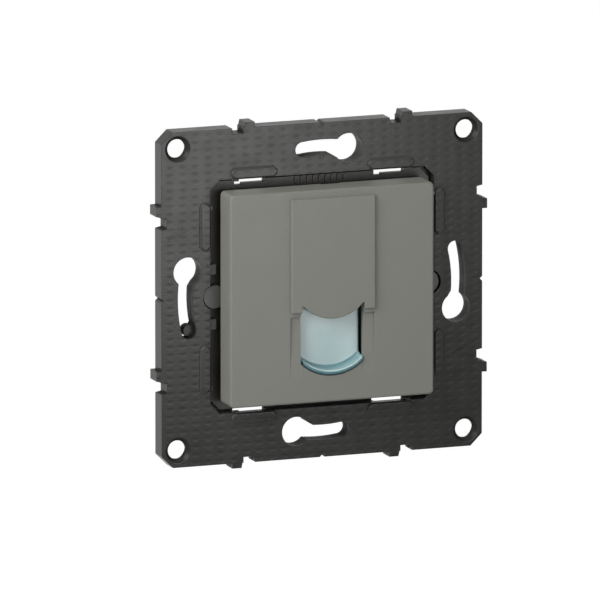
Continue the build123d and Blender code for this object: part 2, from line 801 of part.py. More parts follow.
os.makedirs("parts", exist_ok=True)
for name, shape in build_parts().items():
    export_step(shape, f"parts/{name}.step")
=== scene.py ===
"""The looks of a modular jack wall outlet: laid out as a Blender add-on and run as a script."""

import bmesh
import bpy
import math
import numpy as np
from bpy.props import FloatProperty, FloatVectorProperty, IntProperty, PointerProperty
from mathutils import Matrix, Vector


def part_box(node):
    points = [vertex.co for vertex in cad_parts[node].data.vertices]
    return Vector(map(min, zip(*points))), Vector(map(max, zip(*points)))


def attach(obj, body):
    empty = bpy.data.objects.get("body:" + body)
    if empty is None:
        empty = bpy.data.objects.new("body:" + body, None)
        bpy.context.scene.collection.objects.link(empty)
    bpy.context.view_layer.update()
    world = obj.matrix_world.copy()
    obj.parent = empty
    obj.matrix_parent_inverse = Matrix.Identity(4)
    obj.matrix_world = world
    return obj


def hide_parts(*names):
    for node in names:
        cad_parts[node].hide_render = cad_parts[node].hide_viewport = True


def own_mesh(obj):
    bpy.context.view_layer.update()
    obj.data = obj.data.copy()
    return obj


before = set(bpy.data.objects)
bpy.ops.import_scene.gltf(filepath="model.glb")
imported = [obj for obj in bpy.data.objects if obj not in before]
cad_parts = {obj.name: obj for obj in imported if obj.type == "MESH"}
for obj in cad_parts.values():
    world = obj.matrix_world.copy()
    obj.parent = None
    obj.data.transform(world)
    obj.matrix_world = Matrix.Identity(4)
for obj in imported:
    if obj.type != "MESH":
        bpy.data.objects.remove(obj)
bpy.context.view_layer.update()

bl_info = {
    "name": "Modular jack wall outlet",
    "version": (1, 0, 0),
    "blender": (4, 5, 0),
    "location": "3D View > Sidebar > Outlet",
    "description": "Dresses the packed outlet: mouldings, dust shutter, spring, contacts and finishes",
    "category": "Object",
}

MM = 0.001
CONTACTS = [f"contact_{place}" for place in range(1, 9)]
BLADES = [f"idc_blade_{place}" for place in range(1, 9)]
ACROSS = np.array([1.0, 0.0, 0.0])
QUARTER = math.pi / 2
WIRE_SIDES = 12
PEG_SIDES = 24
SMOOTH_BELOW = 35.0
BEVEL_ABOVE = 32.0
SAME_POINT = 0.0001 * MM
LOOKS_FORWARD = (-0.80, -0.98)


# Sizes and colours that a user would change

def colour(name, red, green, blue):
    """A colour property in linear light."""
    return FloatVectorProperty(name=name, description=f"{name}, in linear light", subtype="COLOR", size=3,
                               min=0.0, max=1.0, default=(red, green, blue))


def length(name, description, millimetres):
    """A length property, given in millimetres and kept in metres."""
    return FloatProperty(name=name, description=description, unit="LENGTH", subtype="DISTANCE", precision=5,
                         default=millimetres * MM)


def number(name, description, value, **settings):
    """A plain number property."""
    return FloatProperty(name=name, description=description, default=value, **settings)


class OutletFinish(bpy.types.PropertyGroup):
    """Colours and surface sizes of the outlet's finishes."""
    frame_colour: colour("Frame plastic", 0.0205, 0.0205, 0.019)
    cover_colour: colour("Cover plastic", 0.185, 0.187, 0.165)
    carrier_colour: colour("Carrier plastic", 0.013, 0.0115, 0.0095)
    shutter_colour: colour("Shutter face", 0.528, 0.672, 0.672)
    # Painted light: the colour that paints the light running through the shutter along its edges
    shutter_edge_light_colour: colour("Shutter edges' painted light", 0.058, 0.190, 0.222)
    socket_colour: colour("Socket plastic", 0.018, 0.018, 0.018)
    comb_colour: colour("Contact comb plastic", 0.42, 0.42, 0.40)
    board_colour: colour("Circuit board laminate", 0.020, 0.130, 0.050)
    terminal_colour: colour("Terminal plastic", 0.60, 0.60, 0.56)
    cap_colour: colour("Wiring cap plastic", 0.22, 0.22, 0.215)
    steel_colour: colour("Tinned sheet", 0.62, 0.62, 0.61)
    spring_colour: colour("Spring steel", 0.58, 0.57, 0.55)
    gold_colour: colour("Contact plating", 0.83, 0.58, 0.22)
    blade_colour: colour("Blade tin", 0.70, 0.67, 0.60)
    # Painted light: the paler colour of the carrier's forward parts is a painted sheen
    raised_sheen_colour: colour("Painted sheen on the carrier's raised parts", 0.056, 0.056, 0.052)
    dust_colour: colour("Dust", 0.42, 0.40, 0.37)
    dust_amount: number("Dust amount", "Share of dust on faces that look up", 0.05, subtype="FACTOR",
                        min=0.0, max=1.0)
    dimple_width: length("Dimple width", "Distance between neighbouring dimples in a row", 2.8)
    dimple_height: length("Dimple height", "Distance between the rows of dimples", 1.65)
    dimple_depth: length("Dimple depth", "Depth of the dimples of the frame's face", 0.016)
    grain_size: length("Grain size", "Size of the mouldings' spark-eroded grain", 0.22)
    grain_depth: length("Grain depth", "Depth of the mouldings' grain", 0.006)
    wear_width: length("Wear width", "Reach of the rubbed edges", 0.18)
    # The reach serves the painted shade on the frame's hole walls
    recess_reach: length("Recess reach", "How far a wall looks for what shades it", 8.0)
    layer_pitch: length("Layer pitch", "Distance between the board's woven layers", 0.2)
    track_pitch: length("Track pitch", "Distance between the board's copper tracks", 1.02)


class OutletShape(bpy.types.PropertyGroup):
    """Sizes of the pieces that the add-on shapes itself."""
    edge_round: length("Edge round", "Radius of the mouldings' small edges", 0.09)
    frame_front: length("Frame front", "Depth of the frame's front plane", -4.0)
    groove_floor: length("Groove floor", "Depth of the slanted grooves' floor in the CAD frame", -3.65)
    groove_shown: length("Groove shown", "Depth that the slanted grooves' floor is lifted to", -3.885)
    # Painted light: the carrier turns paler between these depths, as a painted sheen on its raised parts
    sheen_from: length("Sheen from", "Depth where the carrier begins to turn paler", -2.6)
    sheen_to: length("Sheen to", "Depth where the carrier is palest", -3.2)
    opening_side: length("Opening side", "Height of the lower end of the opening's straight sides", -14.2)
    opening_sag: length("Opening sag", "How far the opening's lower edge bows down", 2.8)
    opening_half: length("Opening half width", "Half the width of the shutter opening", 6.9)
    shutter_gap: length("Shutter gap", "Clearance round the shutter in its opening", 0.2)
    tongue_back: length("Tongue back", "Depth of the tongue's back face", -6.4)
    tongue_front: length("Tongue front", "Depth of the tongue's front face", -7.6)
    nose_height: length("Nose height", "Height of the finger lip's front edge", 1.0)
    root_height: length("Root height", "Height of the finger lip where it meets the face", 1.6)
    nose_round: length("Nose round", "Radius of the finger lip's front edges", 0.32)
    guide_back: length("Guide back", "Depth of the guided part's back face", -6.35)
    guide_thickness: length("Guide thickness", "Thickness of the guided part", 1.0)
    guide_bottom: length("Guide bottom", "Height of the guided part's lower edge", -3.0)
    seat_width: length("Seat width", "Width of the spring seat on the guided part", 4.4)
    seat_height: length("Seat height", "Height of the spring seat", 1.5)
    peg_radius: length("Peg radius", "Radius of the peg that centres the spring", 0.75)
    peg_length: length("Peg length", "Length of the peg that centres the spring", 1.6)
    spring_wire: length("Spring wire", "Diameter of the spring's wire", 0.35)
    spring_radius: length("Spring radius", "Radius of the coil at the wire's centre", 1.075)
    spring_top: length("Spring top", "Height of the fixed end of the spring", 17.8)
    contact_wire: length("Contact wire", "Diameter of the contact wires", 0.35)
    contact_bend: length("Contact bend", "Radius of the contact wires' bends", 0.45)
    contact_nose: length("Contact nose", "Depth of the slope at a contact's front", 0.35)
    contact_drop: length("Contact drop", "Height of the slope at a contact's front", 0.7)
    contact_reach: length("Contact reach", "How far a contact runs back from its front", 8.4)
    contact_tip: length("Contact tip", "Depth of a contact's turned-up end", 0.8)
    contact_lift: length("Contact lift", "Height of a contact's turned-up end", 0.4)
    spring_turns: IntProperty(name="Spring turns", description="Open turns of the spring", default=6, min=3)


class OutletStage(bpy.types.PropertyGroup):
    """The camera's place and the levels of the light."""
    azimuth: number("Azimuth", "Camera's angle round the outlet", math.radians(-20.0), subtype="ANGLE")
    elevation: number("Elevation", "Camera's angle above the horizon", math.radians(11.5), subtype="ANGLE")
    lens: number("Lens", "Focal length in millimetres", 1000.0, unit="CAMERA")
    distance: length("Distance", "Camera's distance from the frame's front plane", 3465.0)
    aim_left: length("Aim left", "How far the aim lies left of the frame's centre", 4.655)
    aim_down: length("Aim down", "How far the aim lies below the frame's centre", 2.106)
    floor_height: length("Floor height", "Height of the floor", -300.0)
    floor_reach: length("Floor reach", "Half the side of the floor", 30000.0)
    floor_glow: number("Floor glow", "Strength that whitens the floor for the camera and reflections", 0.65)
    room_light: number("Room light", "Strength of the even light", 0.45)
    key_light: number("Key light", "Power of the key light, in watts", 1.33, unit="POWER")
    fill_light: number("Fill light", "Power of the light behind, in watts", 2.0, unit="POWER")
    panel_light: number("Panel light", "Power of the mirrored panel, in watts", 0.55, unit="POWER")


# Node trees

class Tree:
    """A node tree with short ways to add nodes and to link them."""

    def __init__(self, tree):
        self.tree = tree

    def feed(self, socket, value):
        """Links a socket or sets its value."""
        if isinstance(value, bpy.types.NodeSocket):
            self.tree.links.new(value, socket)
        else:
            socket.default_value = value

    def add(self, kind, inputs=None, **settings):
        """Adds a node with its settings and feeds its inputs, which are named or numbered."""
        made = self.tree.nodes.new(kind)
        for name, value in settings.items():
            setattr(made, name, value)
        for name, value in (inputs or {}).items():
            self.feed(made.inputs[name], value)
        return made

    def use(self, name, **inputs):
        """The outputs of a shared node group; an underscore in an input's name stands for a space."""
        named = {socket.replace("_", " "): value for socket, value in inputs.items()}
        return self.add("ShaderNodeGroup", named, node_tree=group(name)).outputs

    def maths(self, operation, *values, clamp=False):
        """The output of a Math node."""
        made = self.add("ShaderNodeMath", dict(enumerate(values)), operation=operation, use_clamp=clamp)
        return made.outputs[0]

    def times(self, first, second):
        """The product of two values."""
        return self.maths("MULTIPLY", first, second)

    def plus(self, first, second, clamp=False):
        """The sum of two values."""
        return self.maths("ADD", first, second, clamp=clamp)

    def parts(self, vector):
        """The x, y and z of a vector."""
        return self.add("ShaderNodeSeparateXYZ", {0: vector}).outputs

    def mix(self, factor, first, second):
        """The output of a colour mix."""
        made = self.add("ShaderNodeMix", {0: factor}, data_type="RGBA")
        self.feed(made.inputs[6], first)
        self.feed(made.inputs[7], second)
        return made.outputs[2]

    def span(self, value, from_low, from_high, to_low=0.0, to_high=1.0):
        """The value moved smoothly from one range to another and kept inside it."""
        values = dict(enumerate((value, from_low, from_high, to_low, to_high)))
        return self.add("ShaderNodeMapRange", values, interpolation_type="SMOOTHSTEP").outputs[0]

    def noise(self, vector, scale, detail=2.0, roughness=0.5):
        """The value of a noise texture."""
        values = {"Vector": vector, "Scale": scale, "Detail": detail, "Roughness": roughness}
        return self.add("ShaderNodeTexNoise", values).outputs[0]

    def place(self, name="Object"):
        """One of the outputs of a Texture Coordinate node."""
        return self.add("ShaderNodeTexCoord").outputs[name]

    def bump(self, shader, height):
        """Feeds the shader's Normal from a height in metres."""
        made = self.add("ShaderNodeBump", {"Strength": 1.0, "Distance": 1.0, "Height": height})
        self.feed(shader["Normal"], made.outputs[0])

    def arrange(self):
        """Lays the nodes out in columns, each one left of what it feeds."""
        column = {node.name: 0 for node in self.tree.nodes}
        for _ in range(len(self.tree.nodes)):
            moved = False
            for link in self.tree.links:
                wanted = column[link.to_node.name] + 1
                if column[link.from_node.name] < wanted:
                    column[link.from_node.name] = wanted
                    moved = True
            if not moved:
                break
        rows = {}
        for node in self.tree.nodes:
            place = column[node.name]
            rows[place] = rows.get(place, 0) + 1
            node.location = (-230.0 * place, -190.0 * rows[place])


def new_group(name, inputs, outputs):
    """An empty shader node group as a Tree with its own sockets, all of them numbers but for Vector."""
    made = bpy.data.node_groups.new(name, "ShaderNodeTree")
    for sockets, way in ((inputs, "INPUT"), (outputs, "OUTPUT")):
        for socket in sockets:
            kind = "NodeSocketVector" if socket == "Vector" else "NodeSocketFloat"
            made.interface.new_socket(socket, in_out=way, socket_type=kind)
    tree = Tree(made)
    return tree, tree.add("NodeGroupInput").outputs, tree.add("NodeGroupOutput").inputs


def grain_group():
    """Spark-eroded grain: a height in metres and a tone from two sizes of noise."""
    tree, given, out = new_group("Moulded grain", ("Vector", "Size", "Depth"), ("Height", "Tone"))
    fine = tree.noise(given["Vector"], tree.maths("DIVIDE", 1.0, given["Size"]))
    broad = tree.noise(given["Vector"], tree.maths("DIVIDE", 0.06, given["Size"]), detail=3.0)
    tree.feed(out["Height"], tree.times(fine, given["Depth"]))
    mixed = tree.plus(tree.times(fine, 0.35), tree.times(broad, 0.65))
    tree.feed(out["Tone"], tree.span(mixed, 0.3, 0.7))
    return tree


def dimple_group():
    """Rows of scale-shaped dimples, only where the face looks forwards.

    With u = x / width and v = z / row height, the sum 0.8 cos(2 pi u) + cos(2 pi (v + 0.06 cos(2 pi u)))
    is largest in the middle of each dimple."""
    tree, given, out = new_group("Face dimples", ("Vector", "Width", "Row height", "Depth"),
                                 ("Height", "Mask"))
    place = tree.parts(given["Vector"])
    across = tree.maths("DIVIDE", tree.times(place[0], math.tau), given["Width"])
    upward = tree.maths("DIVIDE", tree.times(place[2], math.tau), given["Row height"])
    first = tree.maths("COSINE", across)
    second = tree.maths("COSINE", tree.plus(upward, tree.times(first, 0.06 * math.tau)))
    dimple = tree.span(tree.plus(tree.times(first, 0.8), second), 0.1, 1.75)
    facing = tree.parts(tree.place("Normal"))[1]
    mask = tree.times(dimple, tree.span(facing, *LOOKS_FORWARD))
    tree.feed(out["Height"], tree.times(mask, tree.times(given["Depth"], -1.0)))
    # The mask also paints shade: the frame's tone is darker inside each dimple
    tree.feed(out["Mask"], mask)
    return tree


def wear_group():
    """A mask of rubbed edges: how far the rounded normal leans from the flat one, broken up by noise."""
    tree, given, out = new_group("Edge wear", ("Vector", "Width"), ("Mask",))
    rounded = tree.add("ShaderNodeBevel", {"Radius": given["Width"]}, samples=4).outputs[0]
    flat = tree.add("ShaderNodeNewGeometry").outputs["Normal"]
    lean = tree.add("ShaderNodeVectorMath", {0: rounded, 1: flat}, operation="DOT_PRODUCT").outputs["Value"]
    edge = tree.span(lean, 0.995, 0.85)
    broken = tree.span(tree.noise(given["Vector"], 900.0, detail=3.0), 0.35, 0.7, 0.25, 1.0)
    tree.feed(out["Mask"], tree.times(edge, broken))
    return tree


def dust_group():
    """A thin mask of dust: more on faces that look up, in soft patches."""
    tree, given, out = new_group("Dust", ("Vector", "Amount"), ("Mask",))
    lying = tree.span(tree.parts(tree.place("Normal"))[2], 0.2, 1.0, 0.15, 1.0)
    patches = tree.span(tree.noise(given["Vector"], 260.0, detail=5.0, roughness=0.65), 0.4, 0.75)
    tree.feed(out["Mask"], tree.times(tree.times(lying, patches), given["Amount"]))
    return tree


def painted_walls_group():
    """Masks of three kinds of wall, the faces that don't look forwards, for painted shade and light.

    Mask is the walls behind the front plane that the piece itself shades, as in a hole, and the frame
    paints shade on them. The second mask is the other walls that look left or right, and the third the
    walls in front of the front plane; the frame paints light on both."""
    tree, given, out = new_group("Painted wall shade and light", ("Vector", "Reach", "Front"),
                                 ("Mask", "Side painted lit", "Proud wall painted lit"))
    opened = tree.add("ShaderNodeAmbientOcclusion", {"Distance": given["Reach"]}, samples=8, only_local=True)
    facing = tree.parts(tree.place("Normal"))
    wall = tree.span(facing[1], *reversed(LOOKS_FORWARD))
    depth = tree.maths("SUBTRACT", tree.parts(given["Vector"])[1], given["Front"])
    sunk = tree.times(wall, tree.span(depth, 0.0, 0.1 * MM))
    mask = tree.times(tree.span(opened.outputs["AO"], 0.74, 0.44), sunk)
    sideways = tree.span(tree.maths("ABSOLUTE", facing[0]), 0.75, 0.95)
    tree.feed(out["Mask"], mask)
    # Painted light: the frame turns the outer side walls that this mask picks paler
    tree.feed(out["Side painted lit"], tree.times(sideways, tree.maths("SUBTRACT", 1.0, mask)))
    # Painted light: the frame turns the walls in front of its front plane paler, as if they caught the face's
    # sheen
    tree.feed(out["Proud wall painted lit"], tree.maths("SUBTRACT", wall, sunk))
    return tree


def group(name):
    """One of the shared node groups, built and laid out when it is first asked for."""
    makers = {"Moulded grain": grain_group, "Face dimples": dimple_group, "Edge wear": wear_group,
              "Dust": dust_group, "Painted wall shade and light": painted_walls_group}
    if name not in bpy.data.node_groups:
        makers[name]().arrange()
    return bpy.data.node_groups[name]


# Materials

def new_material(name, **values):
    """A material's Tree and its Principled BSDF, with plain values set on the shader's own sockets."""
    material = bpy.data.materials.new(name)
    material.use_nodes = True
    tree = Tree(material.node_tree)
    shader = tree.tree.nodes["Principled BSDF"]
    for socket, value in values.items():
        shader.inputs[socket.replace("_", " ")].default_value = value
    return material, tree, shader.inputs


def shade(base, factor=1.0):
    """A shade of a colour, as RGBA."""
    return tuple(min(1.0, part * factor) for part in base) + (1.0,)


def tones(base, low, high):
    """Two shades of a colour."""
    return shade(base, low), shade(base, high)


def frame_face(tree, place, base, tone, height, rough):
    """Adds to tone, height and roughness what only the frame has.

    That is its dimples with painted shade in them, painted shade on the walls of its holes, and painted
    light that makes its outer sides and rib walls paler."""
    finish = bpy.context.scene.outlet_finish
    dimple = tree.use("Face dimples", Vector=place, Width=finish.dimple_width,
                      Row_height=finish.dimple_height, Depth=finish.dimple_depth)
    recess = tree.use("Painted wall shade and light", Vector=place, Reach=finish.recess_reach,
                      Front=bpy.context.scene.outlet_shape.frame_front)
    # Each mask, how much of it counts, and the shade of the base colour that it mixes in. The dimples
    # and hole walls get painted shade, the outer sides and the walls in front get painted light
    for mask, share, factor in ((dimple["Mask"], 0.3, 0.5), (recess["Mask"], 0.6, 0.1),
                                (recess["Side painted lit"], 0.35, 2.4), (recess["Proud wall painted lit"], 0.65, 3.5)):
        tone = tree.mix(tree.times(mask, share), tone, shade(base, factor))
    rough = tree.plus(rough, tree.times(dimple["Mask"], 0.05))
    rough = tree.plus(rough, tree.times(recess["Mask"], 0.6), clamp=True)
    rough = tree.maths("SUBTRACT", rough, tree.times(recess["Side painted lit"], 0.20))
    return tone, tree.plus(height, dimple["Height"]), rough


def moulded_plastic(name, base, roughness=0.5, spread=0.07, wear=0.35, specular=0.4, dimples=False,
                    painted_front_sheen=False):
    """Moulded plastic: mottled tone, grain, paler rubbed edges and thin dust.

    Dimples adds the frame's own look with its painted shade and light, and the last switch paints a
    sheen on the carrier, paler towards the room."""
    finish, shape = bpy.context.scene.outlet_finish, bpy.context.scene.outlet_shape
    material, tree, shader = new_material(name, Specular_IOR_Level=specular)
    place = tree.place()
    grain = tree.use("Moulded grain", Vector=place, Size=finish.grain_size, Depth=finish.grain_depth)
    rubbed = tree.use("Edge wear", Vector=place, Width=finish.wear_width)["Mask"]
    dusty = tree.use("Dust", Vector=place, Amount=finish.dust_amount)["Mask"]
    tone = tree.mix(grain["Tone"], *tones(base, 1 - spread, 1 + spread))
    height = grain["Height"]
    rough = tree.plus(tree.times(grain["Tone"], 0.10), roughness - 0.05)
    if dimples:
        tone, height, rough = frame_face(tree, place, base, tone, height, rough)
    if painted_front_sheen:
        # Painted sheen: the carrier's parts in front of these depths turn paler
        sheen_share = tree.span(tree.parts(place)[1], shape.sheen_from, shape.sheen_to)
        tone = tree.mix(sheen_share, tone, shade(finish.raised_sheen_colour))
    tone = tree.mix(tree.times(rubbed, wear), tone, shade(base, 1.9))
    tree.feed(shader["Base Color"], tree.mix(dusty, tone, shade(finish.dust_colour)))
    tree.feed(shader["Roughness"], rough)
    tree.bump(shader, height)
    tree.arrange()
    return material


def shutter_plastic():
    """Polished translucent plastic: pale face, and a deeper colour that paints the light running along the
    edges.
    """
    finish = bpy.context.scene.outlet_finish
    material, tree, shader = new_material(
        "shutter_plastic", Specular_IOR_Level=0.3, IOR=1.5, Coat_Weight=0.1, Coat_Roughness=0.12,
        Transmission_Weight=0.12, Subsurface_Weight=0.4, Subsurface_Scale=1.5 * MM,
        Subsurface_Radius=(1.0, 1.0, 1.0))
    depth = tree.add("ShaderNodeAttribute", attribute_name="painted_edge_light").outputs["Fac"]
    haze = tree.noise(tree.place(), 140.0, detail=3.0)
    face = tree.mix(tree.span(haze, 0.35, 0.65), *tones(finish.shutter_colour, 0.985, 1.015))
    # Painted light: the attribute mixes in the deep edge colour where light would run along the edges
    tree.feed(shader["Base Color"], tree.mix(depth, face, shade(finish.shutter_edge_light_colour)))
    tree.feed(shader["Roughness"], tree.span(haze, 0.3, 0.7, 0.30, 0.34))
    tree.bump(shader, tree.times(haze, 0.004 * MM))
    tree.arrange()
    return material


def metal(name, base, roughness, stretch, scale, depth=0.002 * MM):
    """Drawn or rolled metal: fine lines stretched along one direction, with a slightly uneven shine."""
    material, tree, shader = new_material(name, Metallic=1.0)
    place = tree.place()
    stretched = tree.add("ShaderNodeMapping", {"Vector": place, "Scale": stretch}).outputs[0]
    lines = tree.noise(stretched, scale, detail=4.0)
    bloom = tree.noise(place, 300.0, detail=3.0)
    shine = tree.times(tree.plus(lines, bloom), 0.5)
    tree.feed(shader["Base Color"], tree.mix(bloom, *tones(base, 0.88, 1.08)))
    tree.feed(shader["Roughness"], tree.span(shine, 0.35, 0.65, roughness - 0.02, roughness + 0.03))
    tree.bump(shader, tree.times(lines, depth))
    tree.arrange()
    return material


def board_laminate():
    """Glass laminate: green mask on the faces, pale woven layers on the cut edges, copper tracks."""
    finish = bpy.context.scene.outlet_finish
    material, tree, shader = new_material("board_laminate", Specular_IOR_Level=0.5)
    place = tree.parts(tree.place())
    facing = tree.parts(tree.place("Normal"))[1]
    on_face = tree.span(tree.maths("ABSOLUTE", facing), 0.4, 0.8)
    layers = tree.maths("SINE", tree.times(place[1], math.tau / finish.layer_pitch))
    layers = tree.span(layers, -1.0, 1.0)
    tracks = tree.maths("SINE", tree.times(place[0], math.tau / finish.track_pitch))
    edge = tree.mix(layers, (0.30, 0.27, 0.13, 1.0), (0.46, 0.42, 0.24, 1.0))
    mask = tree.mix(tree.span(tracks, 0.3, 0.6), *tones(finish.board_colour, 0.9, 1.5))
    tree.feed(shader["Base Color"], tree.mix(on_face, edge, mask))
    tree.feed(shader["Roughness"], tree.span(on_face, 0.0, 1.0, 0.7, 0.32))
    tree.bump(shader, tree.times(layers, 0.01 * MM))
    tree.arrange()
    return material


# Meshes

def hand_over(name, mesh, body, material, stands_for=()):
    mesh.materials.append(material)
    piece = bpy.data.objects.new(name, mesh)
    bpy.context.scene.collection.objects.link(piece)
    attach(piece, body)
    if stands_for:
        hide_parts(*stands_for)
    return piece


def grid_faces(rows, columns, wrap=False):
    """Quads between the neighbouring points of a grid, whose rows are closed loops where asked."""
    row, column = np.meshgrid(np.arange(rows - 1), np.arange(columns if wrap else columns - 1), indexing="ij")
    row, column = row.ravel() * columns, column.ravel()
    beside, below = (column + 1) % columns, row + columns
    return np.stack([row + column, row + beside, below + beside, below + column], axis=1).tolist()


def put_tube(name, rings, body, material, stands_for=()):
    """A smooth closed piece from a stack of closed loops of points, with a face over each end.

    Its normals are recalculated, so that its faces look outwards."""
    rows, columns = rings.shape[:2]
    sides = [face[::-1] for face in grid_faces(rows, columns, wrap=True)]
    last = [(rows - 1) * columns + column for column in range(columns)]
    mesh = bpy.data.meshes.new(name)
    mesh.from_pydata(rings.reshape(-1, 3).tolist(), [], sides + [list(range(columns)), last[::-1]])
    mesh.shade_smooth()
    shell = bmesh.new()
    shell.from_mesh(mesh)
    bmesh.ops.recalc_face_normals(shell, faces=shell.faces)
    shell.to_mesh(mesh)
    shell.free()
    mesh.update()
    return hand_over(name, mesh, body, material, stands_for)


def soften(piece, width, angle=None):
    """Rounds a piece's sharp edges with a Bevel and keeps its flats flat with weighted normals.

    Without an angle the choice of edges is left to their bevel weights."""
    bevel = piece.modifiers.new("Edge round", "BEVEL")
    bevel.width = width
    bevel.segments = 2
    bevel.limit_method = "ANGLE" if angle else "WEIGHT"
    if angle:
        bevel.angle_limit = math.radians(angle)
    bevel.use_clamp_overlap = False
    bevel.miter_outer = "MITER_ARC"
    weighted = piece.modifiers.new("Flat faces", "WEIGHTED_NORMAL")
    weighted.weight = 60
    weighted.keep_sharp = True


def round_the_curves(shell, flat=0.5):
    """Smooth shading for the facets of curved walls only: faces that meet a neighbour at a small angle."""
    for edge in shell.edges:
        edge.smooth = edge.calc_face_angle(0.0) < math.radians(SMOOTH_BELOW)
    for face in shell.faces:
        angles = [math.degrees(edge.calc_face_angle(0.0)) for edge in face.edges]
        face.smooth = any(flat < angle < SMOOTH_BELOW for angle in angles)


def weigh_edges(shell, width):
    """Bevel weights of 1 on sharp outer edges, save near an edge that is too short for the bevel."""
    weight = shell.edges.layers.float.new("bevel_weight_edge")
    sharp = math.radians(BEVEL_ABOVE)
    edges = [edge for edge in shell.edges if edge.is_convex and edge.calc_face_angle(0.0) > sharp]
    tight = {vertex for edge in edges if edge.calc_length() < 1.5 * width for vertex in edge.verts}
    for edge in edges:
        edge[weight] = 0.0 if tight.intersection(edge.verts) else 1.0


def lift_floor(shell, depth, lifted):
    """Moves the points that lie at one depth to another, so that a recess gets shallower."""
    nearness = 0.002 * MM
    for vertex in shell.verts:
        if abs(vertex.co.y - depth) < nearness:
            vertex.co.y = lifted


def dressed_moulding(node, name, body, material, round_by=None, groove=None):
    """A merged copy of a CAD node with small rounded edges, which stands for that node.

    The groove gives the depth of a recess's floor and the depth that it is lifted to."""
    width = bpy.context.scene.outlet_shape.edge_round if round_by is None else round_by
    shell = bmesh.new()
    shell.from_mesh(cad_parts[node].data)
    bmesh.ops.remove_doubles(shell, verts=shell.verts, dist=SAME_POINT)
    if groove:
        lift_floor(shell, *groove)
    round_the_curves(shell)
    weigh_edges(shell, width)
    mesh = bpy.data.meshes.new(name)
    shell.to_mesh(mesh)
    shell.free()
    mesh.materials.clear()
    soften(hand_over(name, mesh, body, material, (node,)), width)


def finish_node(node, material):
    """Gives a CAD node that stays as it is its finish."""
    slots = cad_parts[node].data.materials
    slots.clear()
    slots.append(material)


# Curves and profiles

def round_corners(corners, radius, steps=6):
    """A path through corner points, whose corners are quadratic Bezier arcs.

    Each arc starts a radius before its corner, or 0.45 of the leg where that is shorter."""
    corners = np.asarray(corners, float)
    before, middle, after = corners[:-2], corners[1:-1], corners[2:]
    ends = []
    for leg in (before - middle, after - middle):
        size = np.linalg.norm(leg, axis=1, keepdims=True)
        ends.append(middle + leg / size * np.minimum(radius, 0.45 * size))
    start, end = ends
    t = np.linspace(0.0, 1.0, steps)[None, :, None]
    arcs = (1 - t) ** 2 * start[:, None] + 2 * t * (1 - t) * middle[:, None] + t ** 2 * end[:, None]
    return np.concatenate([corners[:1], arcs.reshape(-1, corners.shape[1]), corners[-1:]])


def ring_points(path, aside, radius, sides):
    """Circles round each point of a path, square to its direction there.

    A circle is the radius times (cos a times one cross direction + sin a times the other)."""
    along = np.gradient(path, axis=0)
    along = along / np.linalg.norm(along, axis=1, keepdims=True)
    aside = np.broadcast_to(aside, path.shape)
    aside = aside - np.sum(aside * along, axis=1, keepdims=True) * along
    aside = aside / np.linalg.norm(aside, axis=1, keepdims=True)
    other = np.cross(along, aside)
    turn = np.linspace(0.0, math.tau, sides, endpoint=False)[None, :, None]
    radius = np.broadcast_to(np.asarray(radius, float).reshape(-1, 1, 1), (len(path), 1, 1))
    return path[:, None] + radius * (np.cos(turn) * aside[:, None] + np.sin(turn) * other[:, None])


def tapered_ends(count, rounding=3):
    """Radius factors along a wire whose two ends close in a quarter circle."""
    factor = np.ones(count)
    curve = np.sin(np.linspace(0.25, 1.0, rounding) * QUARTER)
    factor[:rounding] = curve
    factor[-rounding:] = curve[::-1]
    return factor


# Shutter

def shutter_bottom(x, shape):
    """The height of the shutter's lower edge at x: a circle that bows below the opening's sides."""
    half, sag = shape.opening_half, shape.opening_sag
    radius = (half * half + sag * sag) / (2 * sag)
    centre = shape.opening_side - sag + radius
    return centre - np.sqrt((radius - shape.shutter_gap) ** 2 - x * x)


def shutter_profile(shape):
    """The tongue's outline as (height above the lower edge, depth), and how deep its painted colour is.

    It runs from the back of the lower edge forwards to the nose, round its two edges and back up a
    hollow scoop, a quarter of a superellipse, to the root on the face."""
    nose_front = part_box("dust_shutter")[0].y
    r, power = shape.nose_round, 0.9
    turn = np.linspace(0.0, QUARTER, 6)
    lower = np.stack([r - r * np.sin(turn), nose_front + r - r * np.cos(turn)], axis=1)
    upper = np.stack([shape.nose_height - r + r * np.sin(turn), nose_front + r - r * np.cos(turn)], axis=1)
    sweep = np.linspace(0.0, QUARTER, 14)[1:]
    reach = shape.tongue_front - (nose_front + r)
    rise = shape.root_height - shape.nose_height
    scoop = np.stack([shape.nose_height + rise * (1 - np.cos(sweep) ** power),
                      nose_front + r + reach * np.sin(sweep) ** power], axis=1)
    under = np.linspace((0.0, shape.tongue_back), lower[0], 5)[:-1]
    # Painted light: the nose's upper edge fades to the pale face as a painted highlight; the scoop deepens to
    # its root
    depth = np.concatenate([np.full(len(under), 1.0), np.linspace(1.0, 0.9, len(lower)),
                            0.8 * np.linspace(-1.0, 1.0, len(upper)) ** 2,
                            np.linspace(0.6, 1.0, len(scoop))])
    return np.concatenate([under, lower, upper, scoop]), depth


def shutter_painted_tint(x, half, lip, climb, behind):
    """How deep the painted colour is at each point: 0 on the pale face, 1 where it paints light running
    along an edge.

    The lip has its own values, the back is half deep, and the two side edges have a narrow band. The
    face gets a little deeper towards its middle, as a cosine squared that fades out as it climbs, so that
    its sides and top, which the opening's walls shade, stay paler: painted light."""
    band_width, band_fade, faded_at, fade = 0.40 * MM, 0.25 * MM, 0.62, 0.30
    rows = np.concatenate([lip, np.zeros(len(climb)), np.full(behind, 0.5)])
    band = np.clip((np.abs(x) - (half - band_width)) / band_fade, 0.0, 1.0)
    painted_tint = np.maximum(rows[None], 0.9 * band[:, None])
    # Painted light: the deeper middle leaves the shaded sides and top of the face paler
    middle = 0.03 + 0.26 * np.cos(QUARTER * x / half)[:, None] ** 2
    face = slice(len(lip), len(lip) + len(climb))
    painted_tint[:, face] = np.maximum(painted_tint[:, face], middle * np.clip((faded_at - climb) / fade, 0.0, 1.0))
    return painted_tint


